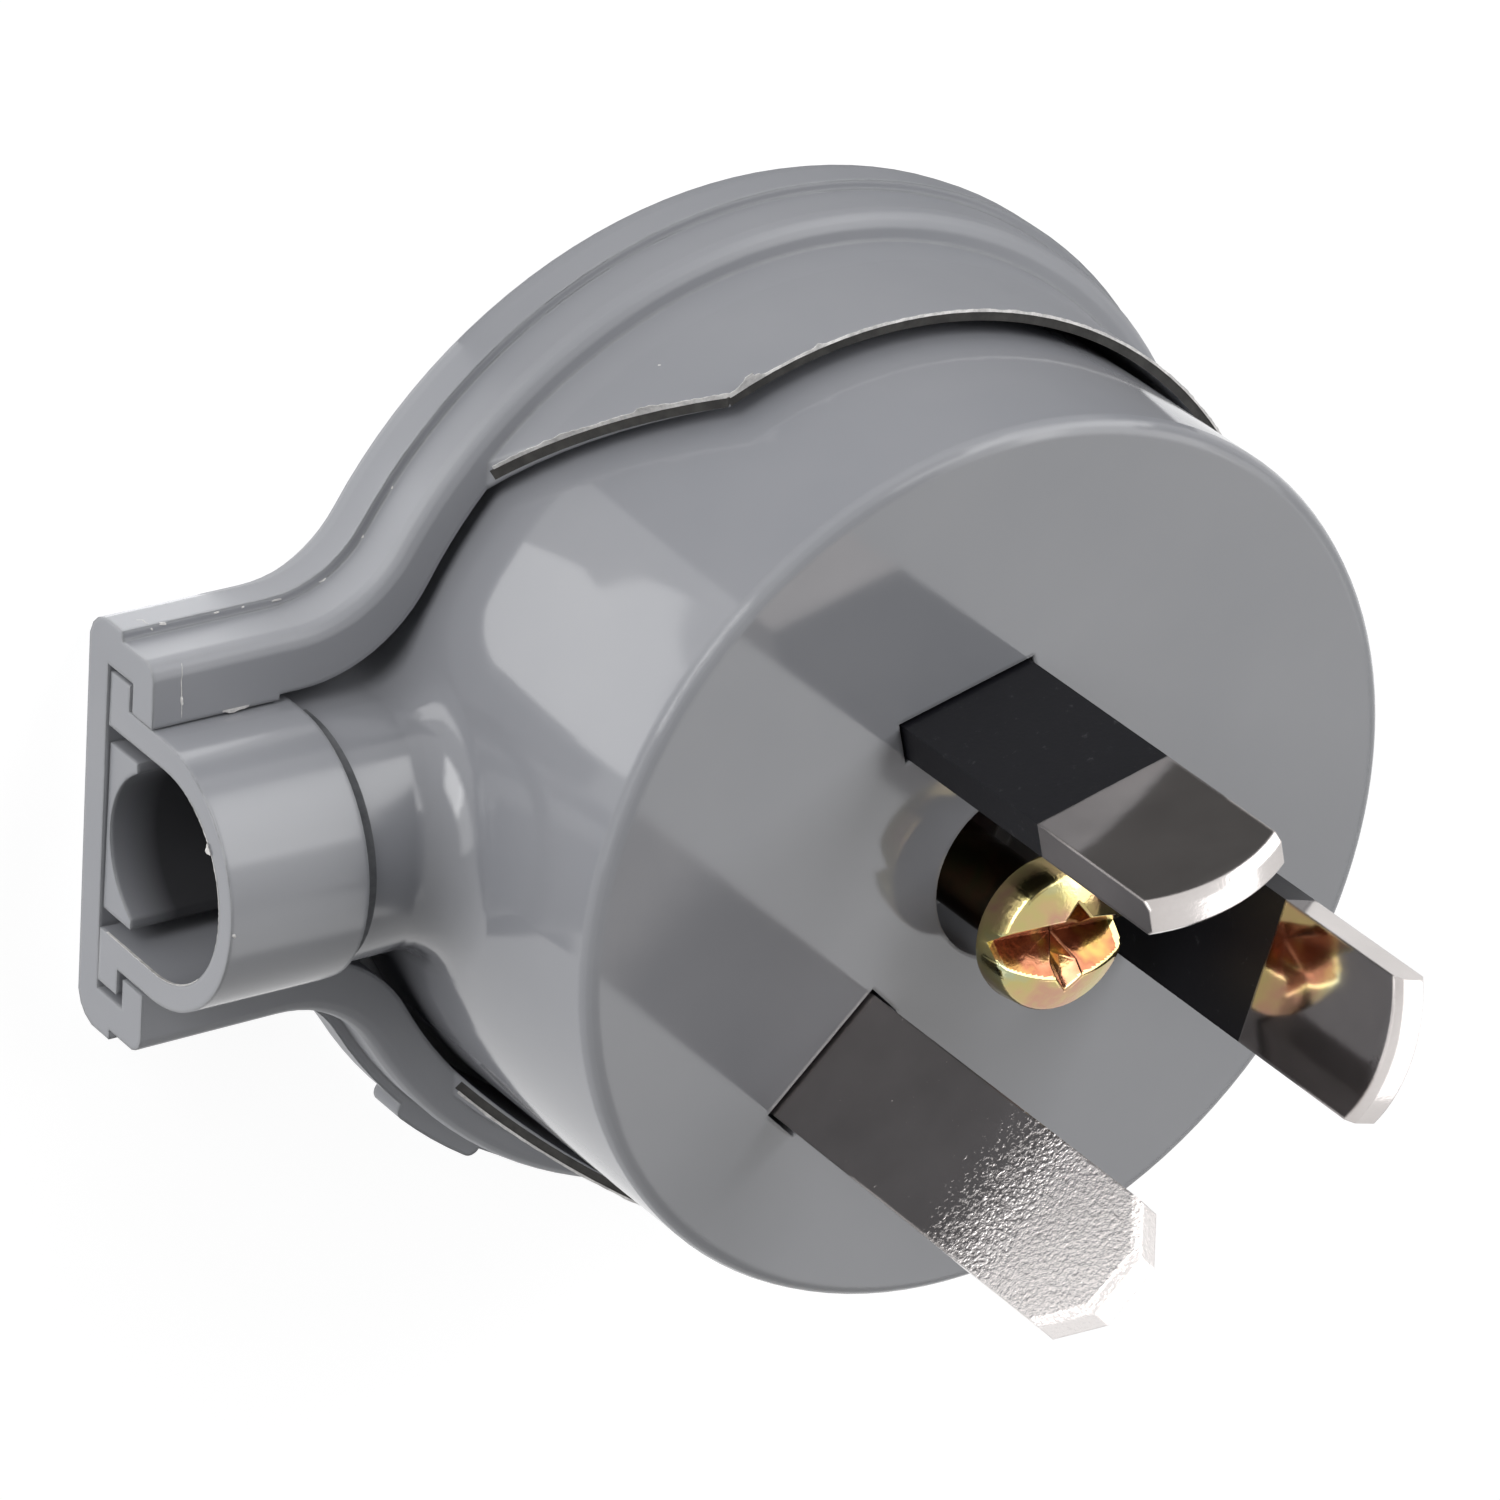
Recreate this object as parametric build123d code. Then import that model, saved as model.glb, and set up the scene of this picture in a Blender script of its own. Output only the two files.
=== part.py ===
from build123d import *
import math
import os

# Side entry plug top with three flat pins. All lengths are in millimetres, angles in degrees.
# The back of the cover lies on Z = 0, the pins point along +Z and the cord leaves along +X.
# The origin is the centre of the pin pattern, which is also the axis of the drum.

# Body: drum and pin face
back_to_face = 20.45
drum_foot_radius = 19.85
drum_taper = 0.15
face_edge_round = 0.65
drum_wall = 1.8
face_thickness = 3.2

# Body: neck for the cord
neck_length = 10.95
neck_axis_height = 5.8
neck_radius = 5.4
neck_root_round = 2.2
root_reach = 0.6
mouth_sleeve_radius = 5.85
mouth_sleeve_length = 6.4
bore_radius = 4.6
bore_axis_height = 6.1
bore_run_in = 2.0
rail_width = 1.15
rail_thickness = 1.5

# Body: screw well and inner walls
well_x = -1.05
well_y = 0.4
well_radius = 3.9
well_depth = 5.0
well_wall = 1.2
well_floor = 2.0
seat_width = 9.0
seat_depth = 4.4
barrier_thickness = 1.2
barrier_foot_height = 8.0
long_barrier_angles = [105.0, 225.0]
short_barrier_angle = -15.0
short_barrier_reach = 11.0

# Pins: positions and sections of the standard three-flat-pin pattern
blade_width = 6.35
blade_thickness = 1.63
live_pin_radius = 7.92
earth_pin_radius = 10.31
earth_pin_angle = 45.0
live_pin_turn = 120.0
live_pin_length = 17.6
earth_pin_length = 20.2
blade_tip_rise = 0.85
blade_tip_chamfer = 0.3
earth_tip_chamfer = 1.75
slot_clearance = 0.15

# Insulating sleeves on the two slanted blades
sleeve_wall = 0.35
sleeve_reach = 9.3
sleeve_root = 2.2

# Terminals
terminal_width = 7.6
terminal_inner = 1.4
terminal_outer = 5.0
terminal_height = 7.4
terminal_top = 14.0
terminal_edge = 0.4
tunnel_radius = 1.7
tunnel_offset = 1.8
tunnel_drop = 3.4
tenon_width = 3.2
clamp_screw_radius = 1.45
clamp_screw_head_radius = 2.2
clamp_screw_head_height = 1.7
clamp_slot_width = 0.7
clamp_slot_depth = 0.8
clamp_tip_rise = 0.5

# Cover: plate, flange, rim and arms
plate_thickness = 1.5
rim_overhang = 2.93
flange_height = 2.55
flange_step = 0.45
rim_height = 5.05
neck_flange_half_width = 9.3
flange_blend = 5.0
back_edge_round = 1.3
back_round_share = 0.45
front_edge_round = 0.75
foot_gap = 0.15
cover_gap = 0.42
lip_gap = 0.2
lip_length = 5.9
neck_gap = 0.9
blend_run_out = 0.9
slot_side_gap = 0.4
slot_top_gap = 0.35
slot_end_gap = 0.55

# Cover: skirt that hugs the drum
skirt_top = 11.75
skirt_thickness = 0.45
skirt_setback = 4.65
skirt_slope = 44.0
skirt_draft = 0.1
skirt_foot_height = 1.55
skirt_foot_spread = 0.25

# Cover: lug on the rim beside the neck
lug_start = 45.0
lug_end = 58.0
lug_proud = 0.5
lug_end_round = 0.5
lug_foot = 0.6

# Cover: inner boss, posts and locating ring
boss_radius = 4.4
boss_top = 7.6
post_wall = 1.0
post_gap = 0.55
ring_width = 1.0
ring_height = 1.6
ring_gap = 0.5
ring_mouth_gap = 0.3
insert_radius = 3.0
insert_length = 5.0
insert_floor = 0.8

# The cover sits loose and a little askew on the body, because its screw is backed out
cover_shift_x = 0.33
cover_shift_y = -0.22
cover_turn = 0.62

# Cover screw, backed out and lying to one side of its well
cover_screw_radius = 1.75
cover_screw_head_radius = 3.3
cover_screw_rim = 1.3
cover_screw_dome = 1.25
cover_screw_length = 12.8
cover_screw_proud = 2.95
cover_screw_shift = 1.1
cover_screw_shift_angle = 53.0
drive_slot_width = 0.95
drive_slot_depth = 1.35
drive_cross_width = 1.0
drive_cross_length = 4.2
washer_radius = 4.2
washer_thickness = 0.8

# Cord grip saddle
saddle_half_width = 3.75
saddle_height = 2.15
saddle_arc_radius = 3.86
saddle_arc_height = 5.7
saddle_length = 9.6
saddle_recess = 0.15

# Clearances that several pieces share
seat_gap = 0.1
screw_gap = 0.05

# How far a cut runs past its surface, and how near to a level an edge has to lie to be picked
past = 1.0
near = 0.01

# Three flats stand for a rounded edge. These are their corners for a round of size one:
# height off the face and inset from the wall.
ease_corners = [(0.0, 0.884), (0.177, 0.457), (0.457, 0.177), (0.884, 0.0)]

face_radius = drum_foot_radius - drum_taper
rim_radius = drum_foot_radius + rim_overhang
neck_reach = drum_foot_radius + neck_length
body_foot = plate_thickness + foot_gap
face_inside = back_to_face - face_thickness
cover_reach = neck_reach - cover_shift_x
slot_left = cover_reach - lip_length
lip_half_width = mouth_sleeve_radius + lip_gap
rail_half_width = mouth_sleeve_radius + rail_width
rail_top = body_foot + rail_thickness
well_bottom = back_to_face - well_depth
cover_inner_radius = drum_foot_radius + cover_gap
neck_opening = neck_radius + neck_gap
earth = "earth"
active = "active"
neutral = "neutral"


def pin_place(pin):
    """Local frame of a pin: X along the blade's width, Y along its thickness, Z out of the face."""
    if pin == earth:
        angle = earth_pin_angle
        radius = earth_pin_radius
        turn = angle
    else:
        angle = earth_pin_angle + (live_pin_turn if pin == active else -live_pin_turn)
        radius = live_pin_radius
        turn = angle - 90.0
    x = radius * math.cos(math.radians(angle))
    y = radius * math.sin(math.radians(angle))
    return Pos(x, y, 0) * Rot(0, 0, turn)


def block(x0, x1, y0, y1, z0, z1):
    """Box between two corners."""
    return Pos((x0 + x1) / 2, (y0 + y1) / 2, (z0 + z1) / 2) * Box(x1 - x0, y1 - y0, z1 - z0)


def rod(x, y, radius, z0, z1):
    """Upright cylinder."""
    return Pos(x, y, (z0 + z1) / 2) * Cylinder(radius, z1 - z0)


def neck_section(x0, x1, radius, foot):
    """U-shaped neck: round above, straight sides down to the open foot."""
    drop = neck_axis_height - foot
    profile = Circle(radius) + Pos(0, -drop / 2) * Rectangle(2 * radius, drop)
    plane = Plane(origin=(x0, 0, neck_axis_height), x_dir=(0, 1, 0), z_dir=(1, 0, 0))
    return extrude(plane * profile, amount=x1 - x0)


def drum_radius_at(z):
    """Outer radius of the tapered drum at a height."""
    share = (z - body_foot) / (back_to_face - body_foot)
    return drum_foot_radius + (face_radius - drum_foot_radius) * share


def make_drum():
    """Solid drum with its slight taper and eased face edge."""
    size = face_edge_round
    rim = [(face_radius - inset * size, back_to_face - height * size) for height, inset in ease_corners]
    foot = [(drum_foot_radius, body_foot), (0, body_foot)]
    half = make_face(Polyline((0, back_to_face), *rim, *foot, close=True))
    return revolve(Plane.XZ * half, Axis.Z)


def make_outer_body():
    """Drum and neck joined with the flared root, then the mouth sleeve with its two rails."""
    neck = neck_section(0, neck_reach - mouth_sleeve_length, neck_radius, body_foot)
    shell = make_drum() + neck
    roots = []
    for edge in shell.edges():
        middle = edge.center()
        near_wall = abs(math.hypot(middle.X, middle.Y) - drum_radius_at(middle.Z)) < root_reach
        if near_wall and middle.X > 0 and abs(middle.Y) < neck_radius + near and middle.Z > body_foot + past:
            roots.append(edge)
    shell = fillet(roots, neck_root_round)
    start = neck_reach - mouth_sleeve_length
    sleeve = neck_section(start, neck_reach, mouth_sleeve_radius, body_foot)
    rails = block(start, neck_reach, -rail_half_width, rail_half_width, body_foot, rail_top)
    return shell + sleeve + rails


def cord_channel():
    """The bore of the neck, open towards the cover."""
    width = 2 * bore_radius
    profile = Circle(bore_radius) + Pos(0, -bore_axis_height / 2) * Rectangle(width, bore_axis_height)
    inside = drum_foot_radius - drum_wall - bore_run_in
    plane = Plane(origin=(inside, 0, bore_axis_height), x_dir=(0, 1, 0), z_dir=(1, 0, 0))
    return extrude(plane * profile, amount=neck_reach - inside + past)


def pin_slot(pin, z0, z1):
    """Slot that a blade passes through."""
    half_w = blade_width / 2 + slot_clearance
    half_t = blade_thickness / 2 + slot_clearance
    return pin_place(pin) * block(-half_w, half_w, -half_t, half_t, z0, z1)


def pin_seat(pin):
    """Thickening under the face that steadies a blade and stops its terminal."""
    half_w = seat_width / 2
    half_d = seat_depth / 2
    return pin_place(pin) * block(-half_w, half_w, -half_d, half_d, terminal_top + seat_gap, face_inside)


def barrier(angle, reach):
    """Wall from the screw well outwards that keeps the conductors apart."""
    wall = block(0, reach, -barrier_thickness / 2, barrier_thickness / 2, barrier_foot_height, face_inside)
    return Rot(0, 0, angle) * wall


def screw_shift():
    """Offset of the loose cover screw from the axis of its well."""
    angle = math.radians(cover_screw_shift_angle)
    return cover_screw_shift * math.cos(angle), cover_screw_shift * math.sin(angle)


def make_body():
    """Body moulding: cup with neck, pin seats, screw well and barriers."""
    inner_radius = drum_foot_radius - drum_wall
    cavity = rod(0, 0, inner_radius, 0, face_inside)
    shell = make_outer_body() - cavity - cord_channel()
    inside = pin_seat(active) + pin_seat(neutral) + pin_seat(earth)
    for angle in long_barrier_angles:
        inside += barrier(angle, inner_radius + 0.5 * drum_wall)
    inside += barrier(short_barrier_angle, short_barrier_reach)
    well_outside = well_radius + well_wall
    inside += rod(well_x, well_y, well_outside, well_bottom - well_floor, face_inside)
    inside -= rod(well_x, well_y, well_outside, 0, well_bottom - well_floor)
    body = shell + inside
    body -= rod(well_x, well_y, well_radius, well_bottom, back_to_face + past)
    hole_radius = cover_screw_radius + cover_screw_shift + seat_gap
    body -= rod(well_x, well_y, hole_radius, 0, well_bottom + past)
    for pin in (active, neutral, earth):
        body -= pin_slot(pin, 0, back_to_face + past)
    return body


def live_blade_profile(z0, z1):
    """Blade face with the arched end of the two slanted pins."""
    half = blade_width / 2
    shoulder = z1 - blade_tip_rise
    line = Polyline((half, shoulder), (half, z0), (-half, z0), (-half, shoulder))
    arc = ThreePointArc((-half, shoulder), (0, z1), (half, shoulder))
    return make_face(line + arc)


def earth_blade_profile(z0, z1):
    """Blade face with the two chamfers of the earth pin."""
    half = blade_width / 2
    cut = earth_tip_chamfer
    tip = [(half, z1 - cut), (half - cut, z1), (cut - half, z1), (-half, z1 - cut)]
    return make_face(Polyline((-half, z0), (half, z0), *tip, close=True))


def chamfered_tip(blade, z):
    """Eases the edges of the blade's end, above a height."""
    flank = blade_thickness / 2 - near
    tip = [edge for edge in blade.edges() if edge.center().Z > z and abs(edge.center().Y) > flank]
    return chamfer(tip, blade_tip_chamfer)


def make_pin(pin):
    """Flat brass blade with a tenon at its foot; a slanted one is thinned where its sleeve sits."""
    length = earth_pin_length if pin == earth else live_pin_length
    top = back_to_face + length
    profile = earth_blade_profile if pin == earth else live_blade_profile
    half_t = blade_thickness / 2
    flank = Plane(origin=(0, half_t, 0), x_dir=(1, 0, 0), z_dir=(0, -1, 0))
    blade = extrude(flank * profile(terminal_top, top), amount=blade_thickness)
    tip_start = top - (earth_tip_chamfer if pin == earth else blade_tip_rise) - near
    blade = chamfered_tip(blade, tip_start)
    if pin != earth:
        blade -= sleeve_solid(hollow=True)
    tenon_foot = terminal_top - tunnel_drop + tunnel_radius
    tenon = block(-tenon_width / 2, tenon_width / 2, -half_t, half_t, tenon_foot, terminal_top)
    return pin_place(pin) * (blade + tenon)


def sleeve_solid(hollow):
    """Insulating sleeve that lies flush with the blade."""
    z0 = face_inside - sleeve_root
    z1 = back_to_face + sleeve_reach
    half_w = blade_width / 2
    half_t = blade_thickness / 2
    outer = block(-half_w, half_w, -half_t, half_t, z0, z1)
    if not hollow:
        return outer
    core_w = half_w - sleeve_wall
    core_t = half_t - sleeve_wall
    return outer - block(-core_w, core_w, -core_t, core_t, z0, z1)


def make_terminal(pin):
    """Brass tunnel terminal staked on the foot of a blade, with its clamp screw hole from below."""
    z0 = terminal_top - terminal_height
    half = terminal_width / 2
    body = block(-half, half, -terminal_inner, terminal_outer, z0, terminal_top)
    body = chamfer(body.edges().filter_by(Axis.X), terminal_edge)
    tunnel_height = terminal_top - tunnel_drop
    tunnel = Cylinder(tunnel_radius, terminal_width + 2 * past)
    body -= Pos(0, tunnel_offset, tunnel_height) * Rot(0, 90, 0) * tunnel
    body -= rod(0, tunnel_offset, clamp_screw_radius + screw_gap, z0 - past, tunnel_height)
    half_w = tenon_width / 2
    half_t = blade_thickness / 2
    body -= block(-half_w, half_w, -half_t, half_t, tunnel_height, terminal_top + past)
    return pin_place(pin) * body


def make_terminal_screw(pin):
    """Slotted cheese head screw, driven from the cover side into the tunnel."""
    z0 = terminal_top - terminal_height
    foot = z0 - seat_gap - clamp_screw_head_height
    tunnel_floor = terminal_top - tunnel_drop - tunnel_radius
    head = rod(0, tunnel_offset, clamp_screw_head_radius, foot, z0 - seat_gap)
    shank = rod(0, tunnel_offset, clamp_screw_radius, foot, tunnel_floor + clamp_tip_rise)
    reach = clamp_screw_head_radius + past
    half = clamp_slot_width / 2
    slot = Pos(0, tunnel_offset, 0) * block(-reach, reach, -half, half, foot - past, foot + clamp_slot_depth)
    return pin_place(pin) * (head + shank - slot)


def plug_outline(radius, half_width, reach, blend):
    """Round outline with a straight neck, joined by two hollow blends."""
    outline = Circle(radius) + Pos(reach / 2, 0) * Rectangle(reach, 2 * half_width)
    corners = [v for v in outline.vertices() if 0 < v.X < reach - past and abs(v.Y) > half_width - near]
    return fillet(corners, blend)


def cover_outline(round_inset, arm_inset, z):
    """Outline of the flange at a height, drawn in on its round part and on its arms."""
    half_width = neck_flange_half_width - arm_inset
    outline = plug_outline(rim_radius - round_inset, half_width, cover_reach, flange_blend + arm_inset)
    return (Pos(0, 0, z) * outline).faces()[0]


def eased_slab(eased_z, plain_z, inset, size, round_share):
    """Slab between an eased face and a plain one. The round part has a share of the easing."""
    inwards = math.copysign(size, plain_z - eased_z)
    sections = [cover_outline(inset, inset, plain_z)]
    for height, draw in reversed(ease_corners):
        drawn = draw * size
        z = eased_z + height * inwards
        sections.append(cover_outline(inset + drawn * round_share, inset + drawn, z))
    return loft(sections, ruled=True)


def make_cover_outside():
    """Flange, rim and arms as one stepped solid."""
    flange = eased_slab(0, flange_height, 0, back_edge_round, back_round_share)
    return flange + eased_slab(rim_height, flange_height, flange_step, front_edge_round, 1)


def sector_point(angle, radius):
    """Point on a circle about the drum axis."""
    return radius * math.cos(math.radians(angle)), radius * math.sin(math.radians(angle))


def make_lug():
    """Low lug on the flange, on the side away from the slanted blades."""
    outer = rim_radius + lug_proud
    far = outer + past
    middle = (lug_start + lug_end) / 2
    arc = ThreePointArc(sector_point(lug_start, far), sector_point(middle, far), sector_point(lug_end, far))
    sides = Polyline(sector_point(lug_end, far), (0, 0), sector_point(lug_start, far))
    lug = rod(0, 0, outer, lug_foot, flange_height) & extrude(make_face(sides + arc), flange_height)
    upright = lug.edges().filter_by(Axis.Z)
    corners = [edge for edge in upright if math.hypot(edge.center().X, edge.center().Y) > rim_radius]
    return fillet(corners, lug_end_round) - rod(0, 0, rim_radius - past, 0, flange_height + past)


def make_skirt():
    """Thin drafted ring that hugs the drum on a spread foot, cut away in a slope towards the neck."""
    top_radius = cover_inner_radius + skirt_thickness
    band_radius = top_radius + skirt_draft
    band_top = rim_height + skirt_foot_height
    inner = cover_inner_radius - past
    profile = make_face(Polyline(
        (inner, plate_thickness), (band_radius + skirt_foot_spread, plate_thickness),
        (band_radius + skirt_foot_spread, rim_height), (band_radius, band_top), (top_radius, skirt_top),
        (inner, skirt_top), close=True))
    ring = revolve(Plane.XZ * profile, Axis.Z)
    far = rim_radius + past
    end_x = drum_foot_radius - skirt_setback
    over = skirt_top + past
    run = (over - rim_height) / math.tan(math.radians(skirt_slope))
    corners = [(end_x, rim_height), (far, rim_height), (far, over), (end_x - run, over)]
    cut = make_face(Polyline(*corners, close=True))
    return ring - extrude(Plane.XZ * cut, far, both=True)


def cover_opening():
    """Inner contour that clears the drum and the neck, with blends that end just before the lips."""
    blend_end = slot_left - blend_run_out
    squares = blend_end ** 2 - cover_inner_radius ** 2 + neck_opening ** 2
    blend = squares / (2 * (cover_inner_radius - neck_opening))
    outline = plug_outline(cover_inner_radius, neck_opening, slot_left, blend)
    return Pos(0, 0, plate_thickness) * extrude(outline, skirt_top)


def placed_with_cover(shape):
    """Moves a piece from the cover's own place to where the loose cover lies."""
    return Pos(cover_shift_x, cover_shift_y, 0) * Rot(0, 0, cover_turn) * shape


def make_cover():
    """Rear cover moulding with its rim, arms, skirt, boss and posts."""
    cover = make_cover_outside() + make_lug() + make_skirt() - cover_opening()
    far = cover_reach + past
    over = rim_height + past
    cover -= block(slot_left - past, far, -lip_half_width, lip_half_width, plate_thickness, over)
    slot_half = rail_half_width + slot_side_gap
    slot_start = neck_reach - mouth_sleeve_length - slot_end_gap
    cover -= block(slot_start, far, -slot_half, slot_half, plate_thickness, rail_top + slot_top_gap)
    cover += rod(well_x, well_y, boss_radius, plate_thickness, boss_top)
    for pin in (active, neutral, earth):
        cover += terminal_post(pin)
    cover += locating_ring()
    cover -= rod(well_x, well_y, insert_radius, boss_top - insert_length, boss_top + past)
    return placed_with_cover(cover)


def terminal_post(pin):
    """Tubular post that holds a terminal against its seat and clears its clamp screw."""
    inner = clamp_screw_head_radius + post_gap
    top = terminal_top - terminal_height - seat_gap
    post = rod(0, tunnel_offset, inner + post_wall, plate_thickness, top)
    return pin_place(pin) * (post - rod(0, tunnel_offset, inner, plate_thickness, top))


def locating_ring():
    """Low ring inside the drum's open edge, broken where the cord comes in."""
    outer = drum_foot_radius - drum_wall - ring_gap
    top = plate_thickness + ring_height
    ring = rod(0, 0, outer, plate_thickness, top) - rod(0, 0, outer - ring_width, plate_thickness, top)
    half = bore_radius + ring_mouth_gap
    ring -= block(0, rim_radius, -half, half, plate_thickness, top)
    return ring


def make_insert():
    """Threaded brass bush moulded into the cover's boss."""
    foot = boss_top - insert_length
    bush = rod(well_x, well_y, insert_radius, foot, boss_top)
    thread = rod(well_x, well_y, cover_screw_radius + screw_gap, foot + insert_floor, boss_top + past)
    return placed_with_cover(bush - thread)


def make_cover_screw():
    """Domed pan head screw with a slot and a cross, standing proud of the face."""
    dx, dy = screw_shift()
    seat = back_to_face + cover_screw_proud
    rim_top = seat + cover_screw_rim
    sagitta = cover_screw_dome
    dome_radius = (cover_screw_head_radius ** 2 + sagitta ** 2) / (2 * sagitta)
    ball = Pos(0, 0, rim_top + sagitta - dome_radius) * Sphere(dome_radius)
    head = rod(0, 0, cover_screw_head_radius, seat, rim_top + sagitta) & ball
    shank = rod(0, 0, cover_screw_radius, seat - cover_screw_length, rim_top)
    crown = rim_top + sagitta
    reach = cover_screw_head_radius + past
    floor = crown - drive_slot_depth
    slot = block(-reach, reach, -drive_slot_width / 2, drive_slot_width / 2, floor, crown + past)
    half = drive_cross_length / 2
    cross = block(-drive_cross_width / 2, drive_cross_width / 2, -half, half, floor, crown + past)
    screw = head + shank - slot - cross
    return Pos(well_x + dx, well_y + dy, 0) * Rot(0, 0, earth_pin_angle) * screw


def make_washer():
    """Fibre washer that grips the cover screw under the floor of its well."""
    dx, dy = screw_shift()
    top = well_bottom - well_floor - seat_gap
    disc = rod(well_x + dx, well_y + dy, washer_radius, top - washer_thickness, top)
    return disc - rod(well_x + dx, well_y + dy, cover_screw_radius + screw_gap, 0, top + past)


def make_saddle():
    """U-shaped trough on the cover plate that presses on the cord."""
    right = neck_reach - saddle_recess
    foot = plate_thickness + seat_gap
    left = right - saddle_length
    bar = block(left, right, -saddle_half_width, saddle_half_width, foot, foot + saddle_height)
    trough = Cylinder(saddle_arc_radius, saddle_length + 2 * past)
    return bar - Pos((left + right) / 2, 0, saddle_arc_height) * Rot(0, 90, 0) * trough


def single(shape):
    """The one solid of a shape."""
    return shape.solids().sort_by(SortBy.VOLUME)[-1]


def build_parts():
    """Every node of the plug by name."""
    parts = {
        "body": make_body(),
        "rear_cover": make_cover(),
        "cover_screw": make_cover_screw(),
        "cover_insert": make_insert(),
        "screw_retaining_washer": make_washer(),
        "cord_grip_saddle": make_saddle(),
    }
    for pin in (active, neutral, earth):
        parts[pin + "_pin"] = make_pin(pin)
        parts[pin + "_terminal"] = make_terminal(pin)
        parts[pin + "_terminal_screw"] = make_terminal_screw(pin)
    for pin in (active, neutral):
        parts[pin + "_pin_sleeve"] = pin_place(pin) * sleeve_solid(hollow=True)
    return parts


os.makedirs("parts", exist_ok=True)
for node, shape in build_parts().items():
    export_step(single(shape), "parts/" + node + ".step")
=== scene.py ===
import math
import random
import bmesh
import bpy
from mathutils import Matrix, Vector


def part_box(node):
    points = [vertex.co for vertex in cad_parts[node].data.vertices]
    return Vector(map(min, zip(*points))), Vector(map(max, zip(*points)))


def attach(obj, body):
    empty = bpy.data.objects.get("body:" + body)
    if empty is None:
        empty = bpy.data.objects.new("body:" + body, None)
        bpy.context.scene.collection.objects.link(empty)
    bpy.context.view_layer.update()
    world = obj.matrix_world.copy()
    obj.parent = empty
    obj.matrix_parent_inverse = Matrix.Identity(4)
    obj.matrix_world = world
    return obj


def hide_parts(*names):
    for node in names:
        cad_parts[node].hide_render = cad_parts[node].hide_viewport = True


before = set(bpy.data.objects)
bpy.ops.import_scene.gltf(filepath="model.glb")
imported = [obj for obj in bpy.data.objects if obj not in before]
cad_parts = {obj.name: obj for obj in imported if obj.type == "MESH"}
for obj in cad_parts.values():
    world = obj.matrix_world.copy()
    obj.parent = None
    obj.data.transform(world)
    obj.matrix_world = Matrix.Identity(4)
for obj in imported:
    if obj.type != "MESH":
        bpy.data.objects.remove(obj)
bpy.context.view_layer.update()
MM = 0.001

# Camera
# The plug is seen from above the pins, over the cord neck, through a long lens.
# The camera is rolled, so that the back of the plug shows at the upper left.
camera_data = bpy.data.cameras.new("view_camera")
camera_data.sensor_fit = "HORIZONTAL"
camera_data.sensor_width = 36.0
camera_data.lens = 205.35
camera_data.clip_start = 0.01
camera = bpy.data.objects.new("view_camera", camera_data)
camera.location = Vector((188.86, -160.29, 264.25)) * MM
camera.rotation_euler = [math.radians(a) for a in (-29.7107, -33.6121, -174.9401)]
bpy.context.scene.collection.objects.link(camera)
bpy.context.scene.camera = camera
bpy.context.scene.view_settings.view_transform = "Standard"


# Floor and studio light
# A white light table in a dim room. Its glow makes the sides of the plug as bright as its face.
# Five soft boxes stand round it. A brighter window in the table and a black card on it show
# only in the plug's gloss and metal.
def new_nodes(owner):
    """Empty node tree of a material or world, with its output node."""
    owner.use_nodes = True
    tree = owner.node_tree
    tree.nodes.clear()
    kind = "ShaderNodeOutputWorld" if isinstance(owner, bpy.types.World) else "ShaderNodeOutputMaterial"
    return tree, tree.nodes.new(kind)


def combine(tree, operation, first, second):
    """Result of a sum on two sockets."""
    node = tree.nodes.new("ShaderNodeMath")
    node.operation = operation
    tree.links.new(first, node.inputs[0])
    tree.links.new(second, node.inputs[1])
    return node.outputs[0]


def shown_as_background(tree):
    """A factor of one for rays that see the background: from the camera, in gloss or through glass."""
    rays = tree.nodes.new("ShaderNodeLightPath").outputs
    seen_or_mirrored = combine(tree, "MAXIMUM", rays["Is Camera Ray"], rays["Is Glossy Ray"])
    return combine(tree, "MAXIMUM", seen_or_mirrored, rays["Is Transmission Ray"])


room_white = (1.0, 1.0, 1.0, 1.0)
room_level = 0.06
room = bpy.data.worlds.new("white_room")
tree, out = new_nodes(room)
seen = tree.nodes.new("ShaderNodeBackground")
seen.inputs["Color"].default_value = room_white
seen.inputs["Strength"].default_value = 1.0
lit = tree.nodes.new("ShaderNodeBackground")
lit.inputs["Color"].default_value = room_white
lit.inputs["Strength"].default_value = room_level
mix = tree.nodes.new("ShaderNodeMixShader")
tree.links.new(shown_as_background(tree), mix.inputs[0])
tree.links.new(lit.outputs[0], mix.inputs[1])
tree.links.new(seen.outputs[0], mix.inputs[2])
tree.links.new(mix.outputs[0], out.inputs["Surface"])
bpy.context.scene.world = room


def flat_sheet(name, corners, glow, white, height=0.0):
    """Flat stage sheet through corners in metres, which glows and reflects a little light."""
    mesh = bpy.data.meshes.new(name)
    mesh.from_pydata([(x, y, height) for x, y in corners], [], [tuple(range(len(corners)))])
    sheet = bpy.data.objects.new(name, mesh)
    bpy.context.scene.collection.objects.link(sheet)
    material = bpy.data.materials.new(name)
    tree, out = new_nodes(material)
    paint = tree.nodes.new("ShaderNodeBsdfDiffuse")
    paint.inputs["Color"].default_value = (white, white, white, 1.0)
    lamp = tree.nodes.new("ShaderNodeEmission")
    lamp.inputs["Strength"].default_value = glow
    both = tree.nodes.new("ShaderNodeAddShader")
    tree.links.new(paint.outputs[0], both.inputs[0])
    tree.links.new(lamp.outputs[0], both.inputs[1])
    tree.links.new(both.outputs[0], out.inputs["Surface"])
    mesh.materials.append(material)
    return sheet


def only_in_gloss(sheet):
    """Keeps a sheet out of the camera's view and of the soft light, so only gloss and metal show it."""
    sheet.visible_camera = False
    sheet.visible_diffuse = False
    sheet.visible_shadow = False


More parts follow.
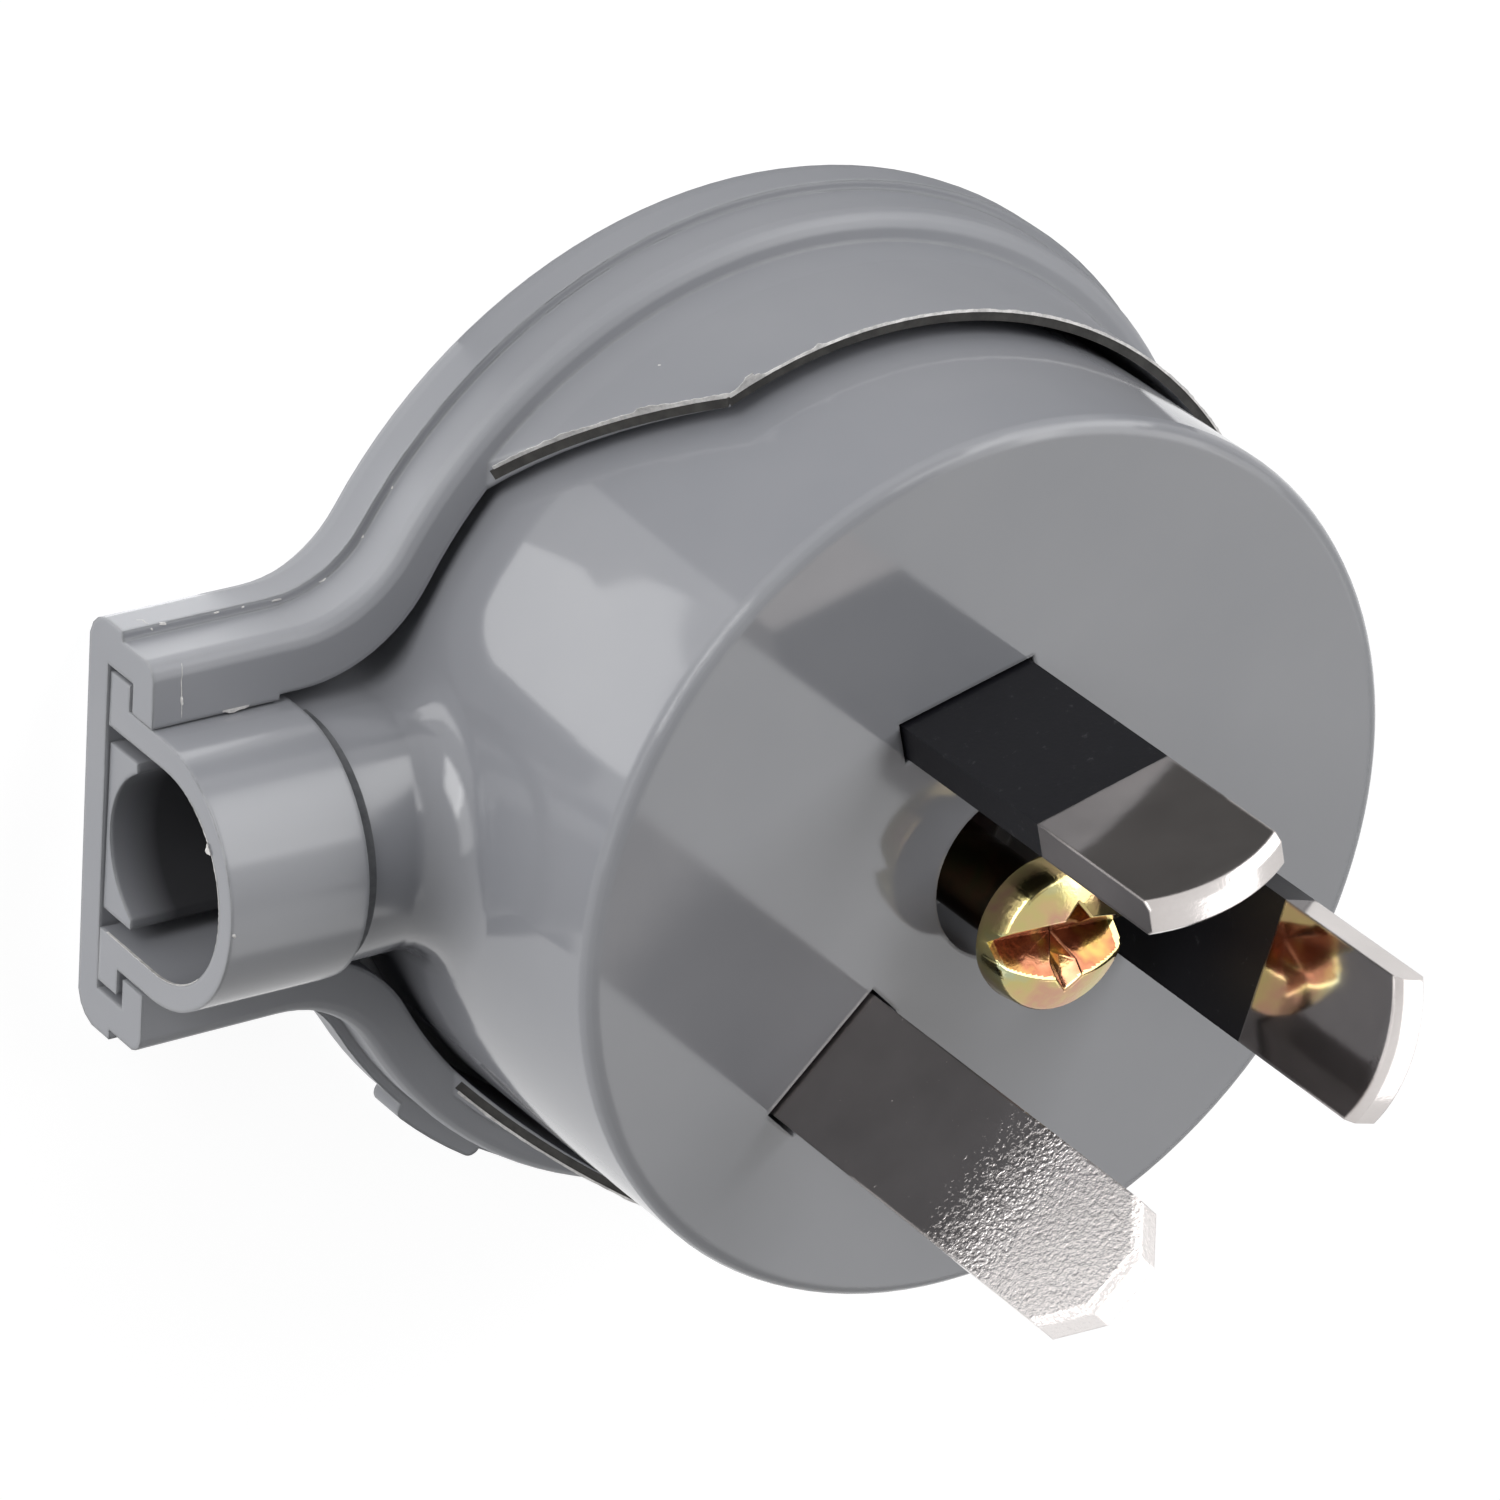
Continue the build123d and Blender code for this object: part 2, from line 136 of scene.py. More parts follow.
floor_half = 1.5
table_glow, table_white = 0.93, 0.2
floor_corners = [
    (-floor_half, -floor_half), (floor_half, -floor_half),
    (floor_half, floor_half), (-floor_half, floor_half)]
flat_sheet("floor", floor_corners, table_glow, table_white)

window_glow, window_height = 3.0, 0.4 * MM
window = [
    (20.2, -15.2), (23.1, -19.4), (24.6, -19.6), (23.7, -23.4), (24.6, -26.2), (28.0, -24.0),
    (31.4, -22.4), (38.5, -11.5), (36.8, -9.4), (26.5, -8.7)]
window_corners = [(x * MM, y * MM) for x, y in window]
only_in_gloss(flat_sheet("table_window", window_corners, window_glow, 0.0, window_height))

card_inner, card_outer = 20.4 * MM, 80 * MM
card_glow, card_white, card_height = 0.10, 0.03, 0.3 * MM
card_turns = [math.radians(a) for a in range(-150, -50, 9)]
card = [(card_inner * math.cos(a), card_inner * math.sin(a)) for a in card_turns]
card += [(card_outer * math.cos(a), card_outer * math.sin(a)) for a in reversed(card_turns)]
only_in_gloss(flat_sheet("black_card", card, card_glow, card_white, card_height))

lamp_distance = 0.80
lamp_target = Vector((0.0, 0.0, 12 * MM))
watts_per_radiance = 4


def soft_box(name, azimuth, elevation, width, height, radiance):
    """Rectangular lamp that faces the plug from a bearing in degrees."""
    data = bpy.data.lights.new(name, "AREA")
    data.shape = "RECTANGLE"
    data.size = width
    data.size_y = height
    data.energy = radiance * watts_per_radiance * width * height
    lamp = bpy.data.objects.new(name, data)
    a = math.radians(azimuth)
    e = math.radians(elevation)
    away = Vector((math.cos(e) * math.cos(a), math.cos(e) * math.sin(a), math.sin(e)))
    lamp.location = lamp_target + away * lamp_distance
    lamp.rotation_euler = away.to_track_quat("Z", "Y").to_euler()
    lamp.visible_camera = False
    bpy.context.scene.collection.objects.link(lamp)
    return lamp


soft_box("front_box", azimuth=-38, elevation=14, width=0.44, height=0.38, radiance=4.3)
soft_box("neck_fill", azimuth=-10, elevation=14, width=0.50, height=0.38, radiance=1.4)
soft_box("key_box", azimuth=-133, elevation=33, width=0.50, height=0.72, radiance=2.6)
soft_box("top_fill", azimuth=-170, elevation=50, width=0.50, height=0.42, radiance=0.9)
back_box = soft_box("back_box", azimuth=157, elevation=44, width=1.00, height=0.46, radiance=0.95)
back_box.visible_diffuse = False


# Grey plastic of the body, cover and saddle
# A pale cool grey moulding compound, coloured right through. The body comes from a polished
# mould and shines, and the cover comes from a duller one. The saddle is painted dark inwards
# from its mouth, as shade inside the neck's channel.
def new_surface(name, metallic=0.0):
    """Material with one shader, and its node tree, that shader and the object's coordinates."""
    material = bpy.data.materials.new(name)
    tree, out = new_nodes(material)
    shader = tree.nodes.new("ShaderNodeBsdfPrincipled")
    tree.links.new(shader.outputs[0], out.inputs["Surface"])
    shader.inputs["Metallic"].default_value = metallic
    coords = tree.nodes.new("ShaderNodeTexCoord").outputs["Object"]
    return material, tree, shader, coords


def noise(tree, coords, size, detail=2.0, roughness=0.5):
    """Noise texture whose features have a size in metres."""
    node = tree.nodes.new("ShaderNodeTexNoise")
    node.inputs["Scale"].default_value = 1.0 / size
    node.inputs["Detail"].default_value = detail
    node.inputs["Roughness"].default_value = roughness
    tree.links.new(coords, node.inputs["Vector"])
    return node.outputs["Fac"]


def ramp(tree, factor, stops):
    """Colour ramp through (position, colour) stops."""
    node = tree.nodes.new("ShaderNodeValToRGB")
    tree.links.new(factor, node.inputs[0])
    band = node.color_ramp
    while len(band.elements) < len(stops):
        band.elements.new(0.5)
    for element, (place, colour) in zip(band.elements, stops):
        element.position = place
        element.color = (*colour, 1.0)
    return node.outputs["Color"]


def remap(tree, value, from_low, from_high, to_low=0.0, to_high=1.0):
    """A value taken from one range to another, and held within it."""
    node = tree.nodes.new("ShaderNodeMapRange")
    node.inputs["From Min"].default_value = from_low
    node.inputs["From Max"].default_value = from_high
    node.inputs["To Min"].default_value = to_low
    node.inputs["To Max"].default_value = to_high
    tree.links.new(value, node.inputs["Value"])
    return node.outputs[0]


def towards(tree, factor, colour, other):
    """Colour that goes over into another, plain colour as the factor grows."""
    node = tree.nodes.new("ShaderNodeMix")
    node.data_type = "RGBA"
    tree.links.new(factor, node.inputs["Factor"])
    tree.links.new(colour, node.inputs["A"])
    node.inputs["B"].default_value = (*other, 1.0)
    return node.outputs["Result"]


def along(tree, coords, axis):
    """One coordinate, named by its letter."""
    split = tree.nodes.new("ShaderNodeSeparateXYZ")
    tree.links.new(coords, split.inputs[0])
    return split.outputs[axis]


def rounded_normal(tree, radius):
    """Normal that rounds the edges in the shading."""
    node = tree.nodes.new("ShaderNodeBevel")
    node.samples = 4
    node.inputs["Radius"].default_value = radius
    return node.outputs[0]


def add_bump(tree, height, depth, normal=None):
    """Bump of a depth in metres, on top of an earlier one."""
    node = tree.nodes.new("ShaderNodeBump")
    node.inputs["Distance"].default_value = depth
    tree.links.new(height, node.inputs["Height"])
    if normal is not None:
        tree.links.new(normal, node.inputs["Normal"])
    return node.outputs["Normal"]


def moulded_grey(name, gloss_low, gloss_high, neck_dull, ripple, grain, painted_shade_from=None):
    """Grey plastic: slight colour drift, edges painted paler as a highlight, uneven gloss, a long ripple
    and a fine grain.

    The neck is duller. Inwards along X from the point given, the colour is painted dark as shade.
    """
    material, tree, shader, coords = new_surface(name)
    drift = noise(tree, coords, 9 * MM, 3.0)
    colour = ramp(tree, drift, [(0.3, (0.266, 0.273, 0.296)), (0.7, (0.290, 0.295, 0.316))])
    soft_edges = rounded_normal(tree, 0.28 * MM)
    likeness = tree.nodes.new("ShaderNodeVectorMath")
    likeness.operation = "DOT_PRODUCT"
    tree.links.new(soft_edges, likeness.inputs[0])
    tree.links.new(tree.nodes.new("ShaderNodeNewGeometry").outputs["Normal"], likeness.inputs[1])
    # Painted highlight: where the rounded normal departs from the true one, the edges are lightened towards
    # pale grey, broken up by noise.
    on_edges = remap(tree, likeness.outputs["Value"], 0.99, 0.80)
    edge_highlight_paint = combine(tree, "MULTIPLY", on_edges, noise(tree, coords, 1.2 * MM, 4.0, 0.7))
    colour = towards(tree, edge_highlight_paint, colour, (0.43, 0.44, 0.45))
    x = along(tree, coords, "X")
    # Painted shade: inwards from the given point the saddle's colour goes over to near black, as shade
    # inside the neck's channel.
    if painted_shade_from is not None:
        channel_shade_paint = remap(tree, x, painted_shade_from - 0.1 * MM, painted_shade_from - 2.2 * MM)
        colour = towards(tree, channel_shade_paint, colour, (0.035, 0.035, 0.038))
    tree.links.new(colour, shader.inputs["Base Color"])
    cloud = noise(tree, coords, 4 * MM, 4.0)
    gloss = remap(tree, cloud, 0.0, 1.0, gloss_low, gloss_high)
    neck = remap(tree, x, 19 * MM, 23 * MM, 0.0, neck_dull)
    tree.links.new(combine(tree, "ADD", gloss, neck), shader.inputs["Roughness"])
    shader.inputs["IOR"].default_value = 1.56
    waves = add_bump(tree, noise(tree, coords, 5 * MM, 1.0), ripple, soft_edges)
    fine = add_bump(tree, noise(tree, coords, 0.12 * MM, 2.0), grain, waves)
    tree.links.new(fine, shader.inputs["Normal"])
    return material


def dress(node, material):
    """Gives a solid its material in place of the plain one."""
    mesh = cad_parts[node].data
    mesh.materials.clear()
    mesh.materials.append(material)


cover_look = (0.38, 0.50, 0.0, 0.006 * MM, 0.002 * MM)
saddle_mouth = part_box("cord_grip_saddle")[1].x
dress("body", moulded_grey("body_grey", 0.06, 0.13, 0.08, 0.008 * MM, 0.0006 * MM))
dress("rear_cover", moulded_grey("cover_grey", *cover_look))
dress("cord_grip_saddle", moulded_grey("saddle_grey_painted_shade", *cover_look, painted_shade_from=saddle_mouth))


# Flash on the skirt
# Thin ragged plastic left along the cut edge of the skirt, where the mould halves met.
# It is the same grey plastic, pale where it is stretched thin, and it breaks off in bits.
def stretched_grey():
    """Pale plastic, rough and whitened where it is thin."""
    material, tree, shader, coords = new_surface("stretched_grey")
    patches = noise(tree, coords, 0.5 * MM, 4.0, 0.7)
    pale = ramp(tree, patches, [(0.35, (0.50, 0.49, 0.48)), (0.65, (0.85, 0.83, 0.81))])
    tree.links.new(pale, shader.inputs["Base Color"])
    shader.inputs["Roughness"].default_value = 0.45
    fine = add_bump(tree, noise(tree, coords, 0.2 * MM, 3.0), 0.01 * MM)
    tree.links.new(fine, shader.inputs["Normal"])
    return material


strip_root = 0.04 * MM


def ragged_strip(name, node, path, heights, leans, half_width, material, crest=0.15):
    """Closed sliver along a path on a solid: each point has its height and the way that it leans.

    The crest is the width of its top as a share of the foot's.
    """
    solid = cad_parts[node]
    mesh = bmesh.new()
    rows = []
    for index, (point, height, lean) in enumerate(zip(path, heights, leans)):
        ahead = path[min(index + 1, len(path) - 1)] - path[max(index - 1, 0)]
        side = ahead.cross(lean).normalized() * half_width
        on_solid = solid.closest_point_on_mesh(point)[1]
        foot = on_solid - lean * strip_root
        tip = foot + lean * (height + strip_root)
        corners = (foot - side, foot + side, tip + side * crest, tip - side * crest)
        rows.append([mesh.verts.new(corner) for corner in corners])
    for low, high in zip(rows, rows[1:]):
        for a in range(4):
            b = (a + 1) % 4
            mesh.faces.new((low[a], low[b], high[b], high[a]))
    mesh.faces.new(reversed(rows[0]))
    mesh.faces.new(rows[-1])
    bmesh.ops.recalc_face_normals(mesh, faces=mesh.faces)
    data = bpy.data.meshes.new(name)
    mesh.to_mesh(data)
    mesh.free()
    piece = bpy.data.objects.new(name, data)
    bpy.context.scene.collection.objects.link(piece)
    data.materials.append(material)
    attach(piece, "root")


# The loose cover's place and the form of its skirt, in mm as on its drawing
cover_shift_x, cover_shift_y = 0.33, -0.22
cover_turn = math.radians(0.62)
skirt_base_radius, skirt_base_z = 20.82, 6.6
skirt_taper, skirt_height = 0.10, 5.15
skirt_foot_z, skirt_top_z, crest_radius = 5.2, 11.75, 20.7
slope_start_x, slope_start_z = 15.2, 5.05
slope_run = 1 / math.tan(math.radians(44))
skirt_step = 0.11
slope_steps = int((skirt_top_z - skirt_foot_z) / skirt_step)


def on_cover(x, y, z):
    """Point of the cover's own drawing, in mm, moved to where the loose cover sits."""
    cos, sin = math.cos(cover_turn), math.sin(cover_turn)
    return Vector((cover_shift_x + x * cos - y * sin, cover_shift_y + x * sin + y * cos, z)) * MM


def skirt_radius(z):
    """Outer radius of the drafted skirt at a height, in mm."""
    return skirt_base_radius - skirt_taper * (z - skirt_base_z) / skirt_height


def skirt_slope(side, inset):
    """Points up the slanting edge of the skirt on one side of the neck."""
    points = []
    for step in range(slope_steps + 1):
        z = skirt_foot_z + (skirt_top_z - skirt_foot_z) * step / slope_steps
        x = slope_start_x - (z - slope_start_z) * slope_run
        points.append((x, side * math.sqrt((skirt_radius(z) - inset) ** 2 - x * x), z))
    return points


def skirt_edge(inset):
    """Points along the whole cut edge of the skirt, a distance in mm in from its outer face."""
    edge = skirt_slope(-1, inset)
    start = math.atan2(edge[-1][1], edge[-1][0])
    sweep = 2 * math.pi + 2 * start
    crest_steps = int(sweep * crest_radius / skirt_step)
    radius = skirt_radius(skirt_top_z) - inset
    for step in range(1, crest_steps):
        a = start - sweep * step / crest_steps
        edge.append((radius * math.cos(a), radius * math.sin(a), skirt_top_z))
    return edge + skirt_slope(1, inset)[::-1]


flash_grey = stretched_grey()
flash_dice = random.Random(7)
thick_until = 12
thick_height, thick_sway = 0.15, 0.10
thin_height, thin_sway = 0.05, 0.04
least_height, most_height = 0.02, 0.55
ragged_carry, ragged_jump = 0.55, 0.45
lump_share, lump_sway = 0.75, 0.8
outward_lift = Vector((0, 0, 0.35))
# Where each lump of flash lies along the edge, how far it stands up and how far it reaches
lumps = [
    (1.6, 0.16, 0.8), (3.0, 0.14, 0.7), (6.9, 0.42, 0.7), (10.0, 0.14, 0.3), (11.5, 0.50, 0.38),
    (14.9, 0.16, 0.3), (18.0, 0.14, 0.4)]
path, heights, leans = [], [], []
run = 0.0
ragged = 0.0
edge = skirt_edge(0.0)
for index, (x, y, z) in enumerate(edge):
    if index:
        run += (Vector(edge[index]) - Vector(edge[index - 1])).length
    ragged = ragged_carry * ragged + ragged_jump * flash_dice.uniform(-1, 1)
    height = thick_height + thick_sway * ragged if run < thick_until else thin_height + thin_sway * ragged
    for place, lift, reach in lumps:
        height += lift * math.exp(-((run - place) / reach) ** 2) * (lump_share + lump_sway * ragged)
    path.append(on_cover(x, y, z))
    heights.append(max(least_height, min(most_height, height)) * MM)
    leans.append((Vector((x, y, 0)).normalized() + outward_lift).normalized())
ragged_strip("skirt_flash", "rear_cover", path, heights, leans, 0.07 * MM, flash_grey)


# Painted shade on the skirt and the neck
# A thin dull film painted near black along the cut edge of the skirt, as shade on that edge and
# in the gap beside it, and dark grey round the corner where the neck's sleeve begins, as shade in
# that groove.
def painted_shade_film(name, dark, pale):
    """Dull film of painted shade, with darker and paler patches."""
    material, tree, shader, coords = new_surface(name)
    mottle = ramp(tree, noise(tree, coords, 0.8 * MM, 4.0, 0.6), [(0.35, dark), (0.65, pale)])
    tree.links.new(mottle, shader.inputs["Base Color"])
    shader.inputs["Roughness"].default_value = 0.75
    return material


# Painted shade: a near-black film along the skirt's cut edge stands in for the shade on that edge and in the
# gap beside it.
skirt_edge_shade_paint = painted_shade_film("skirt_edge_shade_paint", (0.012, 0.011, 0.010), (0.040, 0.038, 0.035))
edge_middle = 0.235
edge = skirt_edge(edge_middle)
path = [on_cover(*point) for point in edge]
crest_lean = Vector((0, 0, 1))
slope_lean = Vector((0.69, 0, 0.72)).normalized()
leans = [crest_lean if z > skirt_top_z - 0.02 else slope_lean for x, y, z in edge]
film = [0.015 * MM] * len(path)
ragged_strip("skirt_edge_painted_shade", "rear_cover", path, film, leans, 0.22 * MM, skirt_edge_shade_paint, crest=1.0)

# Painted shade: a dark grey film round the step where the neck's sleeve begins stands in for the shade in
# that groove.
neck_corner_shade_paint = painted_shade_film("neck_corner_shade_paint", (0.075, 0.078, 0.085), (0.120, 0.124, 0.132))
sleeve_start_x, sleeve_gap = 24.4, 0.33
neck_radius, neck_axis_z = 5.4, 5.8
film_x = sleeve_start_x - sleeve_gap
turns = [math.radians(a) for a in range(-6, 187, 6)]
leans = [Vector((0, math.cos(a), math.sin(a))) for a in turns]
path = [
    Vector((film_x, neck_radius * math.cos(a), neck_axis_z + neck_radius * math.sin(a))) * MM
    for a in turns]
film = [0.02 * MM] * len(path)
ragged_strip("neck_step_painted_shade", "body", path, film, leans, 0.30 * MM, neck_corner_shade_paint, crest=0.9)


# Burrs, specks and scratches
# Ragged bits at the mouth of the neck and on the arm beside it, of the same thin plastic,
# with a witness line, a chipped edge and a scratch that raised a little of it.
def fine_line(name, node, points, lean, height, half_width):
    """Short raised sliver through a few points on a solid, in mm, uneven along its length."""
    path = []
    for a, b in zip(points, points[1:]):
        steps = max(2, int((Vector(b) - Vector(a)).length / 0.1))
        path += [(Vector(a).lerp(Vector(b), k / steps)) * MM for k in range(steps)]
    path.append(Vector(points[-1]) * MM)
    tall = []
    for index in range(len(path)):
        fade = min(1.0, 3 * index / len(path), 3 * (len(path) - 1 - index) / len(path))
        tall.append((0.25 + 0.75 * fade) * height * flash_dice.uniform(0.5, 1.0) * MM)
    lean = Vector(lean).normalized()
    ragged_strip(name, node, path, tall, [lean] * len(path), half_width * MM, flash_grey)


mouth_x, bore_radius, bore_axis_z = 30.78, 4.6, 6.1


def on_bore(turn):
    """Point on the edge of the arch in the neck's mouth, in mm, at a turn in degrees."""
    a = math.radians(turn)
    return (mouth_x, bore_radius * math.cos(a), bore_axis_z + bore_radius * math.sin(a))


bore_leg = [(mouth_x, bore_radius, z) for z in (2.2, 4.0, bore_axis_z)]
# Each has its name, its solid, its points, the way that it leans, its height and its half width
burrs = [
    ("bore_leg_burr", "body", bore_leg + [on_bore(a) for a in (15, 30, 45)], (1, -0.5, 0), 0.16, 0.05),
    ("bore_arch_burr", "body", [on_bore(a) for a in range(60, 180, 12)], (1, 0, -0.4), 0.05, 0.04),
    ("bore_nick", "body", [(mouth_x, -3.0, 9.6), (mouth_x, -2.8, 9.75), (mouth_x, -2.6, 9.9)],
        (0.4, 0.5, -0.8), 0.34, 0.12),
    ("mouth_speck", "body", [(30.70, 0.12, 11.6), (30.66, 0.2, 11.6), (30.6, 0.3, 11.6)],
        (0.4, 0, 1), 0.10, 0.09),
    ("arm_witness_line", "rear_cover",
        [(29.49, -8.5, 4.82), (29.6, -7.9, 5.05), (29.53, -6.95, 5.05), (29.5, -6.2, 5.05)],
        (0, 0, 1), 0.03, 0.045),
    ("arm_witness_speck", "rear_cover", [(29.55, -7.15, 5.05), (29.53, -6.95, 5.05), (29.5, -6.75, 5.05)],
        (0, 0, 1), 0.10, 0.09),
    ("arm_edge_chip", "rear_cover", [(27.6, -6.05, 5.0), (27.0, -6.05, 5.0), (26.4, -6.05, 5.0)],
        (0, 1, 0.6), 0.16, 0.09),
    ("arm_scratch", "rear_cover",
        [(29.91, -9.2, 1.9), (29.66, -9.2, 2.0), (29.7, -9.2, 2.3), (29.5, -9.0, 2.55)],
        (0, -1, 0.2), 0.03, 0.06),
    ("arm_scratch_speck", "rear_cover", [(29.2, -9.2, 2.52), (28.9, -9.15, 2.55)], (0, -1, 0.6), 0.08, 0.07),
]
for burr in burrs:
    fine_line(*burr)
flange_step_z = 2.56
step_specks = [
    (26.7, -9.13, 0.25), (25.4, -9.12, 0.12), (24.0, -9.1, 0.45), (21.8, -9.5, 0.35),
    (19.9, -11.1, 0.2), (18.6, -13.0, 0.2)]
for index, (x, y, length) in enumerate(step_specks):
    ends = [(x, y, flange_step_z), (x - length, y, flange_step_z)]
    fine_line("step_speck_" + str(index), "rear_cover", ends, (0, -0.3, 1), 0.10, 0.07)
skirt_speck = [(9.52, -18.86, 7.6), (9.45, -18.9, 7.7)]
fine_line("skirt_speck", "rear_cover", skirt_speck, (0.45, -0.89, 0), 0.06, 0.06)


# Pins
# Brass strip, blanked and coined to shape, then nickel plated to a bright finish.
# The coining leaves an orange-peel skin towards the earth pin's tip, which sparkles. The colour
# is painted darker at each pin's root, as shade, and paler towards its tip, as a highlight.
def nickel(name, peel_start, peel_end, speckle, peel_depth, shaded_root_colour, highlight_tip_colour):
    """Bright nickel whose orange-peel skin and a paler colour, a painted highlight, grow between two
    heights.

    They grow in dots where the speckle is one. Below them the colour is painted darker, as shade.
    """
    material, tree, shader, coords = new_surface(name, metallic=1.0)
    dots = tree.nodes.new("ShaderNodeMath")
    dots.operation = "MULTIPLY_ADD"
    tree.links.new(noise(tree, coords, 0.20 * MM, 2.0, 0.55), dots.inputs[0])
    dots.inputs[1].default_value = speckle
    tree.links.new(remap(tree, along(tree, coords, "Z"), peel_start, peel_end), dots.inputs[2])
    peel = remap(tree, dots.outputs[0], 0.72, 1.10)
    # Painted shade and highlight: a dark root colour goes over to a paler tip colour where the peel grows.
    paler_shaded_root = [c * 1.15 for c in shaded_root_colour]
    shaded_smooth_colour = ramp(tree, noise(tree, coords, 3 * MM, 3.0), [(0.3, shaded_root_colour), (0.7, paler_shaded_root)])
    tree.links.new(towards(tree, peel, shaded_smooth_colour, highlight_tip_colour), shader.inputs["Base Color"])
    tree.links.new(remap(tree, peel, 0.0, 1.0, 0.07, 0.20), shader.inputs["Roughness"])
    grains = combine(tree, "MULTIPLY", noise(tree, coords, 0.20 * MM, 3.0, 0.6), peel)
    skin = add_bump(tree, grains, peel_depth, rounded_normal(tree, 0.18 * MM))
    waves = add_bump(tree, noise(tree, coords, 2 * MM, 2.0), 0.004 * MM, skin)
    tree.links.new(waves, shader.inputs["Normal"])
    return material


earth_nickel = nickel(
    "earth_nickel", peel_start=30 * MM, peel_end=38 * MM, speckle=1.0, peel_depth=0.06 * MM,
    shaded_root_colour=(0.37, 0.345, 0.335), highlight_tip_colour=(0.82, 0.78, 0.765))
live_nickel = nickel(
    "live_nickel", peel_start=35.6 * MM, peel_end=37.9 * MM, speckle=0.12, peel_depth=0.008 * MM,
    shaded_root_colour=(0.53, 0.495, 0.48), highlight_tip_colour=(0.68, 0.64, 0.625))
dress("earth_pin", earth_nickel)
dress("active_pin", live_nickel)
dress("neutral_pin", live_nickel)


# Pin sleeves
# Black nylon moulded round the root of the two slanted pins, flush with the metal.
# Handling has left pale rubs and specks on it.
def sleeve_black():
    """Satin black plastic with pale scuffs."""
    material, tree, shader, coords = new_surface("sleeve_black")
    rubs = noise(tree, coords, 0.5 * MM, 5.0, 0.7)
    scuff = ramp(tree, rubs, [(0.62, (0.006, 0.006, 0.008)), (0.8, (0.07, 0.07, 0.075))])
    tree.links.new(scuff, shader.inputs["Base Color"])
    shader.inputs["Roughness"].default_value = 0.36
    shader.inputs["Specular IOR Level"].default_value = 0.3
    fine = add_bump(tree, noise(tree, coords, 0.2 * MM, 3.0), 0.004 * MM)
    tree.links.new(fine, shader.inputs["Normal"])
    return material


black = sleeve_black()
dress("active_pin_sleeve", black)
dress("neutral_pin_sleeve", black)


# Cover screw
# Steel pan head screw, zinc plated and yellow passivated, which shows gold, pink and green.
# The film is brown in its recess. Its shank is painted dark brown, as shade down in its well.
# It is backed out and stands to one side of its well.
def yellow_zinc(name, stops):
    """Yellow passivated zinc, with bands of colour."""
    material, tree, shader, coords = new_surface(name, metallic=1.0)
    film = noise(tree, coords, 2.6 * MM, 3.0, 0.55)
    tree.links.new(ramp(tree, film, stops), shader.inputs["Base Color"])
    shader.inputs["Roughness"].default_value = 0.16
    fine = add_bump(tree, noise(tree, coords, 0.3 * MM, 2.0), 0.01 * MM)
    tree.links.new(fine, shader.inputs["Normal"])
    return material


# Head, in mm: its height at the rim and the rise of its dome, with a slot and a cross arm in it
rim_height, dome_rise, rim_round = 1.55, 0.94, 0.22
recess_depth, slot_wall, arm_wall = 0.95, 1.3, 1.7
arm_reach, arm_end_wall, edge_blend = 0.85, 1.3, 0.10


def screw_height(u, v, radius):
    """Height of the head above its seat: a dome with a V slot right across and a shorter cross arm."""
    r = math.hypot(u, v)
    top = rim_height + dome_rise * (1 - (r / radius) ** 2)
    near_rim = max(0.0, r - (radius - rim_round))
    top -= rim_round - math.sqrt(max(0.0, rim_round ** 2 - min(near_rim, rim_round) ** 2))
    bottom = rim_height - recess_depth
    slot = bottom + slot_wall * abs(v)
    arm = bottom + arm_wall * abs(u) + arm_end_wall * max(0.0, abs(v) - arm_reach)
    recess = min(slot, arm)
    gap = abs(top - recess)
    return min(top, recess) - max(edge_blend - gap, 0.0) ** 2 / (4 * edge_blend)


shank_length, side_height, side_flare = 12.8 * MM, 0.25 * MM, 0.14 * MM
seat_scale = 0.985
slot_turn = math.radians(-4)
head_cells = 124
low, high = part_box("cover_screw")
centre = (low + high) / 2
head_radius = (high.x - low.x) / 2
top_radius = head_radius - side_flare
seat = low.z + shank_length


def add_head(mesh):
    """Dome on a grid, closed by the side of the head and its flat seat."""
    cos, sin = math.cos(slot_turn), math.sin(slot_turn)
    pitch = 2 * top_radius / head_cells
    grid = {}
    for i in range(head_cells + 1):
        for j in range(head_cells + 1):
            u = -top_radius + i * pitch
            v = -top_radius + j * pitch
            r = math.hypot(u, v)
            if r > top_radius + 0.6 * pitch:
                continue
            if r > top_radius - 0.4 * pitch:
                u, v = u * top_radius / r, v * top_radius / r
            z = seat + screw_height(u / MM, v / MM, top_radius / MM) * MM
            grid[i, j] = mesh.verts.new((centre.x + u * cos - v * sin, centre.y + u * sin + v * cos, z))
    for i in range(head_cells):
        for j in range(head_cells):
            corners = [grid.get(key) for key in ((i, j), (i + 1, j), (i + 1, j + 1), (i, j + 1))]
            found = [corner for corner in corners if corner is not None]
            if len(found) >= 3:
                mesh.faces.new(found)
    outline = {vert for edge in mesh.edges if edge.is_boundary for vert in edge.verts}
    ring = sorted(outline, key=lambda vert: math.atan2(vert.co.y - centre.y, vert.co.x - centre.x))
    for scale, z in ((head_radius / top_radius, seat + side_height), (seat_scale, seat)):
        below = []
        for vert in ring:
            x = centre.x + (vert.co.x - centre.x) * scale
            y = centre.y + (vert.co.y - centre.y) * scale
            below.append(mesh.verts.new((x, y, z)))
        for a in range(len(ring)):
            b = (a + 1) % len(ring)
            mesh.faces.new((ring[a], ring[b], below[b], below[a]))
        ring = below
    mesh.faces.new(ring)


shank_radius, thread_depth, thread_lead = 1.75 * MM, 0.26 * MM, 0.6 * MM
plain_length, point_length, thread_run_out = 7.0 * MM, 1.2 * MM, 0.5 * MM
shank_sides, shank_level = 48, 0.06 * MM


